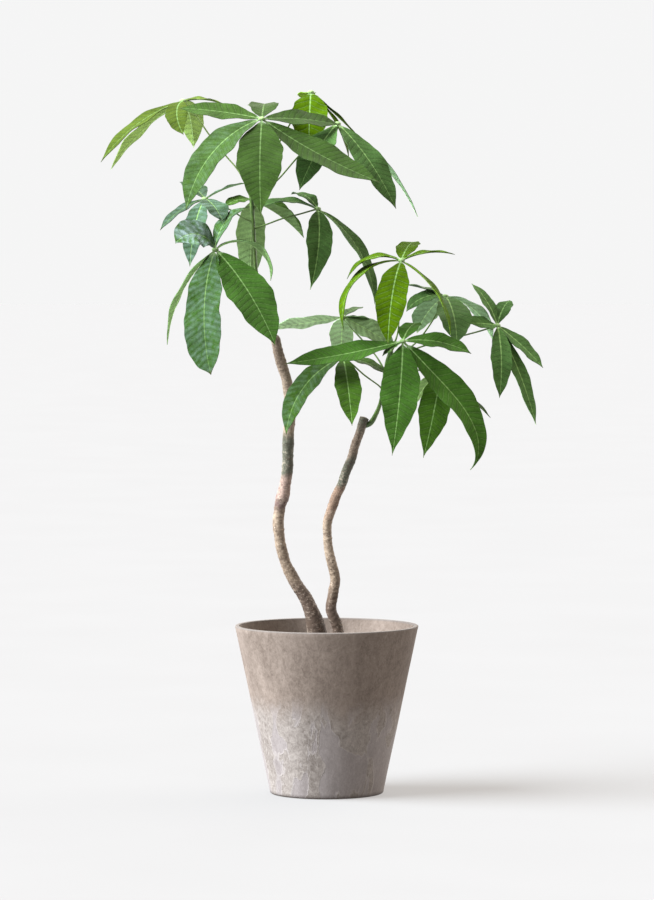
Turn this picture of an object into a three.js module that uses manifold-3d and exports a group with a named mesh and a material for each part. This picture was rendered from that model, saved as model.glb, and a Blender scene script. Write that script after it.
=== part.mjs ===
// A potted money tree (Pachira aquatica): a tapered stone pot, soil, two bare trunks,
// a green shoot on each trunk and fifteen hand-shaped leaves.
// Millimetres, +Z up, origin in the middle of the pot's base, +Y away from the viewer.
import * as THREE from "three";
import { mergeVertices } from "three/addons/utils/BufferGeometryUtils.js";
import Module from "manifold-3d";

const wasm = await Module();
wasm.setup();

// ---- Driving dimensions ----

const GAP = 0.3; // air left between pieces that touch

const POT = {
  height: 220,
  rimRadius: 120,
  baseRadius: 74,
  wall: 6,
  floor: 12, // thickness of the bottom
  rimRound: 1.5,
  baseRound: 3,
  insideRound: 6, // where the inside wall meets the floor
  cornerSteps: 2,
  sides: 40,
};

const SOIL = {
  belowRim: 32, // soil surface under the rim, at the wall
  crown: 5, // how much higher it lies in the middle
  crownSteps: 3,
  clearance: 0.6, // to the wall, because both rounds have flat sides
  sides: 24,
};

// Trunks and shoots are lists of [x, y, z, diameter].
const TRUNKS = {
  trunk_left: [
    [-4, 6, 110, 24],
    [-7, 6, 165, 28],
    [-13, 6, 212, 25],
    [-26, 6, 252, 17.5],
    [-42, 6, 278, 16],
    [-55, 6, 304, 14],
    [-61.5, 5, 331, 14],
    [-63, 5, 357, 14.5],
    [-60.5, 4, 376, 15],
    [-57, 4, 390, 17], // ring left by an old branch
    [-54.5, 4, 404, 15],
    [-52, 4, 422, 14.4],
    [-50, 4, 462, 14.8],
    [-48, 4, 501, 14],
    [-52.5, 4, 540, 13.4],
    [-61.5, 4, 572, 13.6],
    [-68, 4, 600, 12],
  ],
  trunk_right: [
    [18, -8, 120, 15],
    [16, -8, 170, 17],
    [15, -8, 212, 15],
    [6, -8, 243, 13.5],
    [8, -8, 262, 13.5],
    [11.5, -8, 278, 13.5], // bend at an old scar
    [7, -8, 300, 12.5],
    [1.5, -8, 328, 11.6],
    [1, -8, 352, 12],
    [5, -8, 370, 12],
    [10.5, -8, 384, 12.5],
    [18, -8, 402, 12.4],
    [26, -8, 422, 12],
    [35, -8, 448, 11.6],
    [42, -8, 470, 11.6],
    [50, -8, 493, 12],
  ],
};

const SHOOTS = {
  shoot_left: [
    [-67, 4, 590, 7],
    [-69, 4, 604, 6.4],
    [-76, 3, 626, 5.6],
    [-86, 2, 655, 5],
    [-92, 1, 684, 4.8],
    [-94, 0, 712, 4.6],
    [-96, 0, 744, 4.6],
    [-98.6, 0, 785, 4.4],
  ],
  shoot_right: [
    [48, -8, 480, 5],
    [57, -8, 485, 7],
    [64, -7, 496, 6],
    [70, -6, 511, 5],
    [74, -5, 534, 5],
    [78, -3, 560, 5],
    [84.7, 0, 581, 5],
  ],
};

const TRUNK = { steps: 30, sides: 10 };
const SHOOT = { steps: 12, sides: 7 };

const CARRIER = { shoot_left: "trunk_left", shoot_right: "trunk_right" };

const STALK = { rootDiameter: 3.7, diameter: 2.9, sides: 5, steps: 7 };
const HUB_RADIUS = 4.5;

const LEAFLET = {
  rows: 8, // cross-sections along the blade
  thickness: 0.9, // blade, between its two faces
  ribDepth: 1.2, // extra depth of the midrib under the blade at its root
  stem: 0.035, // share of the length that is a bare stalk
  drip: 0.96, // where the narrow drip tip begins
  stemHalfWidth: 1.4,
  dripHalfWidth: 0.5,
  fold: 8, // degrees that each half rises from the midrib
  wave: 0.035, // height of the waved edge, as a share of the width
  waves: 2.5,
  arcSteps: 8, // short steps of the midrib's arc between two cross-sections
};

// Blade outlines: a belly above 1 puts the widest place past the middle, and a fullness below 1
// makes the blade fuller.
const FORMS = {
  oval: { belly: 1.06, fullness: 0.7 },
  lance: { belly: 0.85, fullness: 0.9 },
  blunt: { belly: 1.3, fullness: 0.35 },
};

// One leaf: the shoot that carries it, its tint, the points of its stalk from shoot to hub, and
// its leaflets as [heading, length, width, slope at the root, slope at the tip, twist, extras].
// A heading of 0 points right, 90 back, 180 left and 270 to the front; angles are in degrees.
// A twist turns the blade about its own midrib. Of the extras, a sweep curves the blade sideways
// like a sickle, fold and form replace the usual ones, and a curl above 1 keeps the root straight
// and bends the tip.
const LEAVES = {
  leaf_left_1: {
    shoot: "shoot_left",
    tint: 0x3c6b22,
    stalk: [[-98.6, 0, 783], [-96, -12, 815], [-90, -26, 850], [-84, -35, 880]],
    leaflets: [
      [165, 112, 36, 12, 3, -34],
      [207, 168, 50, -17, -78, -26],
      [267, 167, 60, -40, -66, 0, { sweep: 4, fold: 3, form: "lance", curl: 1.6 }],
      [335, 187, 50, -33, -20, 28],
      [15, 106, 40, 4, -12, 30],
      [88, 100, 40, 30, -5, 0],
    ],
  },
  leaf_left_2: {
    shoot: "shoot_left",
    tint: 0x86ad35,
    stalk: [[-98.2, 0, 771], [-85, 8, 818], [-64, 20, 848], [-42, 42, 886], [-21, 62, 918]],
    leaflets: [
      [267, 90, 50, -35, -80, 0],
      [336, 106, 30, -38, -78, -15],
      [8, 88, 20, -39, -47, 0],
      [105, 42, 24, -4, -14, 0],
    ],
  },
  leaf_left_3: {
    shoot: "shoot_left",
    tint: 0x3f6e2a,
    stalk: [[-97.4, 0, 761], [-81, 2, 784], [-59, 3, 807], [-40, 3, 829], [-10, 4, 861], [14, 5, 875]],
    leaflets: [
      [238, 117, 47, -30, -70, 0, { sweep: -12 }],
      [313, 149, 46, -33, -68, 6, { sweep: 12, fold: 6 }],
      [11, 164, 26, -32, -65, 0],
    ],
  },
  leaf_left_4: {
    shoot: "shoot_left",
    tint: 0x8fb04a,
    stalk: [
      [-98.4, 0, 778],
      [-114, 8, 812],
      [-133, 16, 835],
      [-155, 26, 863],
      [-170, 34, 885],
      [-189, 45, 906],
    ],
    leaflets: [
      [193, 138, 38, -18, -55, -12],
      [160, 137, 38, -26, -56, 0],
      [251, 88, 30, -12, -60, 0, { sweep: 35 }],
      [82, 110, 36, 0, -70, 0],
      [20, 62, 26, 14, -25, 8],
    ],
  },
  leaf_left_5: {
    shoot: "shoot_left",
    tint: 0x4f7f4a,
    stalk: [[-96.2, 0, 747], [-108, -3, 752], [-126, -4, 763], [-141, -2, 769], [-159, 0, 777]],
    leaflets: [
      [198, 74, 26, -16, -52, -12],
      [255, 115, 30, -25, -80, 0],
      [295, 66, 35, -10, -45, 0],
      [30, 64, 22, 30, 8, -12],
      [125, 60, 34, 38, 8, 0],
    ],
  },
  leaf_left_6: {
    shoot: "shoot_left",
    tint: 0x3f7a24,
    stalk: [[-88.4, 2, 662], [-100, -16, 680], [-120, -40, 698], [-144, -60, 711]],
    leaflets: [
      [207, 68, 50, 66, -50, -45],
      [244, 178, 58, -53, -85, 10, { sweep: 19, form: "blunt" }],
      [310, 172, 58, -32, -60, 22, { sweep: 2, fold: 5 }],
      [15, 108, 36, 40, -97, 0],
      [172, 142, 38, -40, -86, 0],
      [38, 84, 34, 82, 8, -5],
    ],
  },
  leaf_left_7: {
    shoot: "shoot_left",
    tint: 0x6f9a4c,
    stalk: [[-97.8, 0, 766], [-98, 8, 770], [-97, 17, 776]],
    leaflets: [
      [93, 148, 39, -22, -85, 0],
      [10, 85, 46, -22, -50, 10, { fold: 35 }],
      [205, 42, 24, 10, -35, -20],
    ],
  },
  leaf_left_8: {
    shoot: "shoot_left",
    tint: 0x3a6626,
    stalk: [[-95.8, 0, 738], [-78, -4, 744], [-59, -6, 751], [-36, -9, 757], [-12, -10, 764]],
    leaflets: [
      [278, 125, 36, -32, -98, -12, { sweep: -16, fold: 11, form: "lance" }],
      [348, 152, 38, -30, -87, 12],
      [188, 85, 38, 27, -28, -10],
      [130, 60, 26, 50, -10, 0],
    ],
  },
  leaf_right_1: {
    shoot: "shoot_right",
    tint: 0x44761f,
    stalk: [[84, 0, 578], [90, -30, 588], [98, -70, 593]],
    leaflets: [
      [190, 156, 46, -14, -7, -28],
      [268, 171, 50, -45, -72, -5, { sweep: -8, fold: 3, form: "lance" }],
      [348, 204, 50, -46, -138, 38, { sweep: 4, fold: 12, form: "lance", curl: 4 }],
      [350, 92, 39, 8, -28, 26],
      [68, 60, 28, 45, 0, 0],
      [200, 34, 20, -28, -40, 0],
    ],
  },
  leaf_right_2: {
    shoot: "shoot_right",
    tint: 0x477d2b,
    stalk: [[73, -5, 528], [69, -10, 533], [49, -20, 548], [30, -33, 565], [21, -38, 571]],
    leaflets: [
      [203, 134, 38, -18, -84, -28],
      [276, 117, 34, -20, -80, 0, { sweep: 4 }],
      [340, 68, 28, -4, -35, 10],
      [100, 95, 34, 3, -8, 0],
    ],
  },
  leaf_right_3: {
    shoot: "shoot_right",
    tint: 0x7d9c63,
    stalk: [[76.5, -4, 551], [66, 2, 570], [42, 13, 598], [31, 18, 610], [21, 22, 623]],
    leaflets: [
      [165, 102, 36, -8, -10, 22, { fold: 3 }],
      [92, 85, 32, -20, -80, 0],
      [350, 80, 44, -25, -34, 30],
      [60, 56, 18, 25, 0, 0],
      [25, 48, 18, 6, -22, 0],
    ],
  },
  leaf_right_4: {
    shoot: "shoot_right",
    tint: 0x4b7d33,
    stalk: [[81, -1, 570], [100, 4, 577], [117, 6, 590], [128, 7, 603], [147, 11, 633], [155, 14, 650]],
    leaflets: [
      [195, 60, 28, 14, -55, -25],
      [130, 76, 38, -20, -62, 15],
      [286, 92, 46, -18, -68, 0, { sweep: -6 }],
      [22, 94, 36, -6, -74, -5],
      [165, 60, 26, 25, 5, 0],
    ],
  },
  leaf_right_5: {
    shoot: "shoot_right",
    tint: 0x47742f,
    stalk: [[82.5, 0, 575], [102, -6, 577], [125, -4, 585], [175, 6, 598], [205, 12, 606], [223, 15, 612]],
    leaflets: [
      [215, 46, 34, 8, 0, -30],
      [140, 70, 24, 70, 34, 0],
      [69, 62, 25, 52, 12, 0],
      [279, 112, 28, -35, -84, 0, { sweep: -8 }],
      [313, 147, 27, -52, -70, 0],
      [352, 82, 32, -36, -49, 25],
    ],
  },
  leaf_right_6: {
    shoot: "shoot_right",
    tint: 0x8ab532,
    stalk: [[84.5, 0, 580], [92, -4, 600], [95, -24, 645], [96, -68, 697]],
    leaflets: [
      [257, 140, 42, -25, -80, 0],
      [193, 137, 38, 4, -104, 0],
      [178, 82, 30, 26, -64, -10],
      [77, 88, 30, 30, 2, 0],
      [15, 74, 26, 26, -14, 5],
      [350, 120, 30, -28, -84, 0],
    ],
  },
  leaf_right_7: {
    shoot: "shoot_right",
    tint: 0x4a7a35,
    stalk: [[79.5, -2, 565], [100, 4, 558], [125, 2, 553], [149, -5, 551]],
    leaflets: [
      [262, 129, 41, -36, -92, -10, { sweep: -15, fold: 3, form: "lance" }],
      [350, 88, 30, -38, -46, 0],
      [130, 70, 28, -20, -60, 0],
    ],
  },
};

const MATERIALS = {
  pot: new THREE.MeshStandardMaterial({ color: 0xa69c92, roughness: 0.85, metalness: 0 }),
  soil: new THREE.MeshStandardMaterial({ color: 0x3b2c22, roughness: 1, metalness: 0 }),
  bark: new THREE.MeshStandardMaterial({ color: 0xa8907a, roughness: 0.8, metalness: 0 }),
  shoot: new THREE.MeshStandardMaterial({ color: 0x4c6a2c, roughness: 0.6, metalness: 0 }),
};

// ---- Solids ----

const { degToRad } = THREE.MathUtils;
const SAME_POINT = 1e-4; // vertices nearer than this are one

function solidOf(geometry) {
  const bare = new THREE.BufferGeometry().setAttribute("position", geometry.getAttribute("position"));
  if (geometry.index) bare.setIndex(geometry.index);
  const merged = mergeVertices(bare, SAME_POINT);
  return new wasm.Manifold(
    new wasm.Mesh({
      numProp: 3,
      vertProperties: new Float32Array(merged.attributes.position.array),
      triVerts: new Uint32Array(merged.index.array),
    }),
  );
}

function meshOf(name, solid, material) {
  const made = solid.getMesh();
  const geometry = new THREE.BufferGeometry()
    .setAttribute("position", new THREE.BufferAttribute(made.vertProperties, 3))
    .setIndex(new THREE.BufferAttribute(made.triVerts, 1));
  geometry.computeVertexNormals();
  const mesh = new THREE.Mesh(geometry, material);
  mesh.name = name;
  return mesh;
}

function fuse(solids) {
  return solids.reduce((whole, next) => whole.add(next));
}

// The main body of a cut solid, without the crumbs that the cut leaves behind.
function largest(solid) {
  const [main] = solid.decompose().sort((a, b) => b.volume() - a.volume());
  return main;
}

function geometryFrom(points, faces) {
  const geometry = new THREE.BufferGeometry().setFromPoints(points);
  return geometry.setIndex(faces);
}

// A solid of revolution about +Z from [radius, height] pairs that start and end on the axis.
function turned(profile, sides) {
  const outline = profile.map(([radius, height]) => new THREE.Vector2(radius, height));
  return solidOf(new THREE.LatheGeometry(outline, sides).rotateX(Math.PI / 2));
}

// A closed tube along the smooth curve through [x, y, z, diameter] points.
function tube(points, steps, sides, grow = 0) {
  const curve = new THREE.CatmullRomCurve3(
    points.map(([x, y, z]) => new THREE.Vector3(x, y, z)),
    false,
    "centripetal",
  );
  const frames = curve.computeFrenetFrames(steps);
  const vertices = [];
  const faces = [];
  for (let i = 0; i <= steps; i++) {
    const along = curve.getUtoTmapping(i / steps);
    const centre = curve.getPoint(along);
    const radius = diameterAt(points, along) / 2 + grow;
    for (let j = 0; j < sides; j++) {
      const angle = (2 * Math.PI * j) / sides;
      const spoke = frames.normals[i]
        .clone()
        .multiplyScalar(Math.cos(angle) * radius)
        .addScaledVector(frames.binormals[i], Math.sin(angle) * radius);
      vertices.push(centre.clone().add(spoke));
    }
  }
  for (let i = 0; i < steps; i++) {
    for (let j = 0; j < sides; j++) {
      const a = i * sides + j;
      const b = i * sides + ((j + 1) % sides);
      faces.push(a, b, b + sides, a, b + sides, a + sides);
    }
  }
  const last = steps * sides;
  for (let j = 1; j < sides - 1; j++) {
    faces.push(0, j + 1, j, last, last + j, last + j + 1);
  }
  return solidOf(geometryFrom(vertices, faces));
}

// The diameter part of the way along, easing from each listed value to the next.
function diameterAt(points, along) {
  const place = along * (points.length - 1);
  const low = Math.min(Math.floor(place), points.length - 2);
  const ease = THREE.MathUtils.smoothstep(place - low, 0, 1);
  return THREE.MathUtils.lerp(points[low][3], points[low + 1][3], ease);
}

// ---- Pot and soil ----

function outerRadius(z) {
  return THREE.MathUtils.lerp(POT.baseRadius, POT.rimRadius, z / POT.height);
}

function innerRadius(z) {
  return outerRadius(z) - POT.wall;
}

// A round corner as [radius, height] pairs, between two directions in degrees.
function corner(radius, height, round, from, to) {
  return Array.from({ length: POT.cornerSteps + 1 }, (_, i) => {
    const angle = degToRad(THREE.MathUtils.lerp(from, to, i / POT.cornerSteps));
    return [radius + round * Math.cos(angle), height + round * Math.sin(angle)];
  });
}

function pot() {
  const { height, rimRadius, wall, floor, rimRound, baseRound, insideRound } = POT;
  const insideCorner = floor + insideRound;
  const profile = [
    [0, 0],
    ...corner(outerRadius(baseRound) - baseRound, baseRound, baseRound, -90, 0),
    ...corner(rimRadius - rimRound, height - rimRound, rimRound, 0, 90),
    ...corner(rimRadius - wall + rimRound, height - rimRound, rimRound, 90, 180),
    ...corner(innerRadius(insideCorner) - insideRound, insideCorner, insideRound, 0, -90),
    [0, floor],
  ];
  return turned(profile, POT.sides);
}

// The filling follows the inside of the pot, with a slightly raised top and a hole for each trunk.
function soil(trunks) {
  const bottom = POT.floor + GAP;
  const edge = POT.height - SOIL.belowRim;
  const chamfer = POT.insideRound;
  const profile = [
    [0, bottom],
    [innerRadius(bottom) - chamfer, bottom],
    [innerRadius(bottom + chamfer) - SOIL.clearance, bottom + chamfer],
  ];
  for (let i = SOIL.crownSteps; i >= 0; i--) {
    const share = i / SOIL.crownSteps;
    const radius = (innerRadius(edge) - SOIL.clearance) * share;
    profile.push([radius, edge + SOIL.crown * (1 - share * share)]);
  }
  const holes = Object.values(trunks).map((points) => trunkSolid(points, GAP));
  return holes.reduce((body, hole) => body.subtract(hole), turned(profile, SOIL.sides));
}

// ---- Trunks and shoots ----

function trunkSolid(points, grow = 0) {
  return tube(points, TRUNK.steps, TRUNK.sides, grow);
}

function shootSolid(name, grow = 0) {
  return tube(SHOOTS[name], SHOOT.steps, SHOOT.sides, grow);
}

// A shoot starts inside its trunk and is cut back to just clear of the bark.
function seatedShoot(name) {
  return largest(shootSolid(name).subtract(trunkSolid(TRUNKS[CARRIER[name]], GAP)));
}

// ---- Leaves ----

// Half the width of the blade at a share t of its length.
function halfWidth(t, width, { belly, fullness }) {
  const inBlade = THREE.MathUtils.clamp((t - LEAFLET.stem) / (LEAFLET.drip - LEAFLET.stem), 0, 1);
  const blade = Math.pow(Math.sin(Math.PI * Math.pow(inBlade, belly)), fullness);
  const least = THREE.MathUtils.lerp(LEAFLET.stemHalfWidth, LEAFLET.dripHalfWidth, t);
  return Math.max((width / 2) * blade, least);
}

// One blade: the midrib is an arc whose slope runs from root to tip, and each half rises from it
// by the fold, with a waved edge.
function leaflet(hub, [heading, length, width, rise, droop, twist, extras = {}]) {
  const { sweep = 0, fold = LEAFLET.fold, form = "oval", curl = 1 } = extras;
  const turn = degToRad(heading);
  const level = new THREE.Vector3(-Math.sin(turn), Math.cos(turn), 0);
  const top = [];
  const bottom = [];
  const place = new THREE.Vector3(...hub);
  const steps = LEAFLET.rows * LEAFLET.arcSteps;
  for (let i = 0; i <= steps; i++) {
    const t = i / steps;
    const slope = degToRad(THREE.MathUtils.lerp(rise, droop, Math.pow(t, curl)));
    const along = new THREE.Vector3(
      Math.cos(slope) * Math.cos(turn),
      Math.cos(slope) * Math.sin(turn),
      Math.sin(slope),
    );
    const side = level.clone().applyAxisAngle(along, degToRad(twist));
    const up = along.clone().cross(side);
    along.applyAxisAngle(up, degToRad(sweep * t));
    side.applyAxisAngle(up, degToRad(sweep * t));
    if (i % LEAFLET.arcSteps === 0) {
      const half = halfWidth(t, width, FORMS[form]);
      for (const column of [1, 0, -1]) {
        const phase = 2 * Math.PI * (LEAFLET.waves * t + heading / 360) + column;
        const wave = LEAFLET.wave * 2 * half * Math.sin(phase);
        const lift = Math.abs(column) * (half * Math.sin(degToRad(fold)) + wave);
        const point = place
          .clone()
          .addScaledVector(side, column * half * Math.cos(degToRad(fold)))
          .addScaledVector(up, lift);
        const rib = column === 0 ? LEAFLET.ribDepth * (1 - t) : 0;
        top.push(point.clone().addScaledVector(up, LEAFLET.thickness / 2));
        bottom.push(point.clone().addScaledVector(up, -LEAFLET.thickness / 2 - rib));
      }
    }
    place.addScaledVector(along, length / steps);
  }
  return solidOf(bladeSurface(top, bottom));
}

// Joins the two faces of a blade, three points to a row, with triangles alike on both.
function bladeSurface(top, bottom) {
  const rows = top.length / 3;
  const under = top.length;
  const faces = [];
  const quad = (a, b, c, d) => faces.push(a, b, c, a, c, d);
  for (let row = 0; row < rows - 1; row++) {
    const [left, rib, right] = [3 * row, 3 * row + 1, 3 * row + 2];
    faces.push(rib, rib + 3, left + 3, rib, left + 3, left);
    faces.push(rib, right, right + 3, rib, right + 3, rib + 3);
    faces.push(under + rib, under + left + 3, under + rib + 3);
    faces.push(under + rib, under + left, under + left + 3);
    faces.push(under + rib, under + right + 3, under + right);
    faces.push(under + rib, under + rib + 3, under + right + 3);
    quad(left, left + 3, under + left + 3, under + left);
    quad(right, under + right, under + right + 3, right + 3);
  }
  const last = 3 * (rows - 1);
  for (const column of [0, 1]) {
    quad(column, under + column, under + column + 1, column + 1);
    quad(last + column, last + column + 1, under + last + column + 1, under + last + column);
  }
  return geometryFrom([...top, ...bottom], faces);
}

function stalk(points) {
  const { rootDiameter, diameter, sides, steps } = STALK;
  const sized = points.map((point, i) => [...point, i === 0 ? rootDiameter : diameter]);
  return tube(sized, steps, sides);
}

function leaf({ shoot, stalk: points, leaflets }) {
  const hub = points[points.length - 1];
  const ball = new THREE.IcosahedronGeometry(HUB_RADIUS).translate(...hub);
  const blades = leaflets.map((values) => leaflet(hub, values));
  return largest(fuse([stalk(points), solidOf(ball), ...blades]).subtract(shootSolid(shoot, GAP)));
}

// ---- The plant in its pot ----

const tree = new THREE.Group();
tree.name = "potted_money_tree";
tree.add(meshOf("pot", pot(), MATERIALS.pot));
tree.add(meshOf("soil", soil(TRUNKS), MATERIALS.soil));
for (const [name, points] of Object.entries(TRUNKS)) {
  tree.add(meshOf(name, trunkSolid(points), MATERIALS.bark));
}
for (const name of Object.keys(SHOOTS)) {
  tree.add(meshOf(name, seatedShoot(name), MATERIALS.shoot));
}
for (const [name, values] of Object.entries(LEAVES)) {
  const green = new THREE.MeshStandardMaterial({ color: values.tint, roughness: 0.5, metalness: 0 });
  tree.add(meshOf(name, leaf(values), green));
}

export default tree;
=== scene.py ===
"""A potted money tree in the frame of its CAD model: a tapered stone pot, soil, two bare trunks,
a green shoot on each and fifteen hand-shaped leaves. Metres, +Z up, +Y away from the viewer."""

from math import pi, radians

import bpy
import numpy as np
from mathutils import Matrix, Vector


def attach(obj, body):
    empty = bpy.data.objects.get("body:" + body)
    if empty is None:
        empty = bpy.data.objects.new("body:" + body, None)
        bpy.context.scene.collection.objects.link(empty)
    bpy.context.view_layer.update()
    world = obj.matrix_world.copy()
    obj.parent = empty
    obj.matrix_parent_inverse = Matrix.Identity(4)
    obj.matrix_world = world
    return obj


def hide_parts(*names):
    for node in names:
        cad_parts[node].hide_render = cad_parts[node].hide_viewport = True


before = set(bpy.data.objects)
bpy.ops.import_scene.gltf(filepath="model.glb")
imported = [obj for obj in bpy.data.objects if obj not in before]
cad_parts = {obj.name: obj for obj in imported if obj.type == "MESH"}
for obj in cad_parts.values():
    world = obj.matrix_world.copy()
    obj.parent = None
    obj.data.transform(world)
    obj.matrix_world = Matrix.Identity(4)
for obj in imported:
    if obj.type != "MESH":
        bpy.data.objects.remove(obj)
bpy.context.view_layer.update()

# ---- Driving dimensions, in metres and degrees ----

POT_HEIGHT = 0.220
POT_RIM_RADIUS = 0.120
POT_BASE_RADIUS = 0.074
POT_WALL = 0.006
POT_FLOOR = 0.012
POT_RIM_ROUND = 0.0015
POT_BASE_ROUND = 0.003
POT_INSIDE_ROUND = 0.006
POT_SIDES = 160
POT_WAVE = 0.0002  # how far the wall strays from true
POT_SEED = 3

SOIL_BELOW_RIM = 0.032
SOIL_CROWN = 0.005
SOIL_DEPTH = 0.020  # how far the modelled crust reaches down
SOIL_GAP = 0.0006  # between the crust and the wall
SOIL_CLODS = ((0.0011, 260, 5), (0.0006, 800, 6))  # height, fineness and seed of each set of waves
SOIL_CRUMBS = 420
CRUMB_SIZES = (0.0007, 0.0026)
CRUMB_SEED = 11

# Trunks and shoots are lists of (x, y, z, diameter).
TRUNKS = {
    "trunk_left": [
        (-0.004, 0.006, 0.110, 0.024), (-0.007, 0.006, 0.165, 0.028), (-0.013, 0.006, 0.212, 0.025),
        (-0.026, 0.006, 0.252, 0.0175), (-0.042, 0.006, 0.278, 0.016), (-0.055, 0.006, 0.304, 0.014),
        (-0.0615, 0.005, 0.331, 0.014), (-0.063, 0.005, 0.357, 0.0145), (-0.0605, 0.004, 0.376, 0.015),
        (-0.057, 0.004, 0.390, 0.017), (-0.0545, 0.004, 0.404, 0.015), (-0.052, 0.004, 0.422, 0.0144),
        (-0.050, 0.004, 0.462, 0.0148), (-0.048, 0.004, 0.501, 0.014), (-0.0525, 0.004, 0.540, 0.0134),
        (-0.0615, 0.004, 0.572, 0.0136), (-0.068, 0.004, 0.600, 0.012),
    ],
    "trunk_right": [
        (0.018, -0.008, 0.120, 0.015), (0.016, -0.008, 0.170, 0.017), (0.015, -0.008, 0.212, 0.015),
        (0.006, -0.008, 0.243, 0.0135), (0.008, -0.008, 0.262, 0.0135), (0.0115, -0.008, 0.278, 0.0135),
        (0.007, -0.008, 0.300, 0.0125), (0.0015, -0.008, 0.328, 0.0116), (0.001, -0.008, 0.352, 0.012),
        (0.005, -0.008, 0.370, 0.012), (0.0105, -0.008, 0.384, 0.0125), (0.018, -0.008, 0.402, 0.0124),
        (0.026, -0.008, 0.422, 0.012), (0.035, -0.008, 0.448, 0.0116), (0.042, -0.008, 0.470, 0.0116),
        (0.050, -0.008, 0.493, 0.012),
    ],
}
SHOOTS = {
    "shoot_left": [
        (-0.067, 0.004, 0.590, 0.007), (-0.069, 0.004, 0.604, 0.0064), (-0.076, 0.003, 0.626, 0.0056),
        (-0.086, 0.002, 0.655, 0.005), (-0.092, 0.001, 0.684, 0.0048), (-0.094, 0, 0.712, 0.0046),
        (-0.096, 0, 0.744, 0.0046), (-0.0986, 0, 0.785, 0.0044),
    ],
    "shoot_right": [
        (0.048, -0.008, 0.480, 0.005), (0.057, -0.008, 0.485, 0.007), (0.064, -0.007, 0.496, 0.006),
        (0.070, -0.006, 0.511, 0.005), (0.074, -0.005, 0.534, 0.005), (0.078, -0.003, 0.560, 0.005),
        (0.0847, 0, 0.581, 0.005),
    ],
}

TRUNK_ROWS = 320
TRUNK_SIDES = 44
TRUNK_TOPS = {"trunk_left": 0.008, "trunk_right": 0.0012}  # how far down a top is rounded
TRUNK_SEEDS = {"trunk_left": 21, "trunk_right": 34}
BARK_LUMP = 0.0004
SCAR_STEPS = (0.011, 0.026)  # least and most from one old leaf scar to the next
SCAR_TILTS = (0.0004, 0.0022)
SCAR_HEIGHTS = (0.00015, 0.00060)
SCAR_SPREAD = 0.0014
SHOOT_ROWS = 200
SHOOT_SIDES = 20
SHOOT_SWELL = 0.0008  # extra diameter where one stalk leaves the shoot
SHOOT_SWELL_MOST = 0.0012
SHOOT_SWELL_REACH = 0.0042

STALK_DIAMETER = 0.0021
STALK_ROOT_DIAMETER = 0.0033
STALK_ROWS = 60
STALK_SIDES = 12
HUB_RADIUS = 0.0045
HUB_FLATNESS = 0.66
HUB_SIDES = 20

LEAFLET_ROWS = 96
LEAFLET_COLUMNS = 17
LEAFLET_THICKNESS = 0.0007
LEAFLET_RIB = 0.0012  # extra depth of the midrib under the blade at its root
LEAFLET_RIB_SPREAD = 0.0013
LEAFLET_STEM = 0.035  # share of the length that is a bare stalk
LEAFLET_DRIP = 0.96  # where the oval of the blade would close
LEAFLET_POINT = 0.93  # where its drawn-out point takes over
STEM_HALF_WIDTH = 0.0014
POINT_HALF_WIDTH = 0.0003
LEAFLET_FOLD = 8
# Blade outlines as (belly, fullness): a belly above 1 puts the widest place past the middle, and a
# fullness below 1 makes the blade fuller.
FORMS = {"oval": (1.06, 0.7), "lance": (0.85, 0.9), "blunt": (1.3, 0.35)}
EDGE_WAVE = 0.035  # share of the width
EDGE_WAVES = 2.5
EDGE_BUMP = 0.032  # share of the half width
EDGE_BUMPS = 3.5
VEIN_SPACING = 0.0088
VEIN_SLANT = 0.55  # how far a side vein runs towards the tip for each metre outwards
VEIN_PILLOW = 0.0001
PILLOW_HALF_WIDTH = 0.02  # pillows are lower where half the blade is narrower than this

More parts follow.
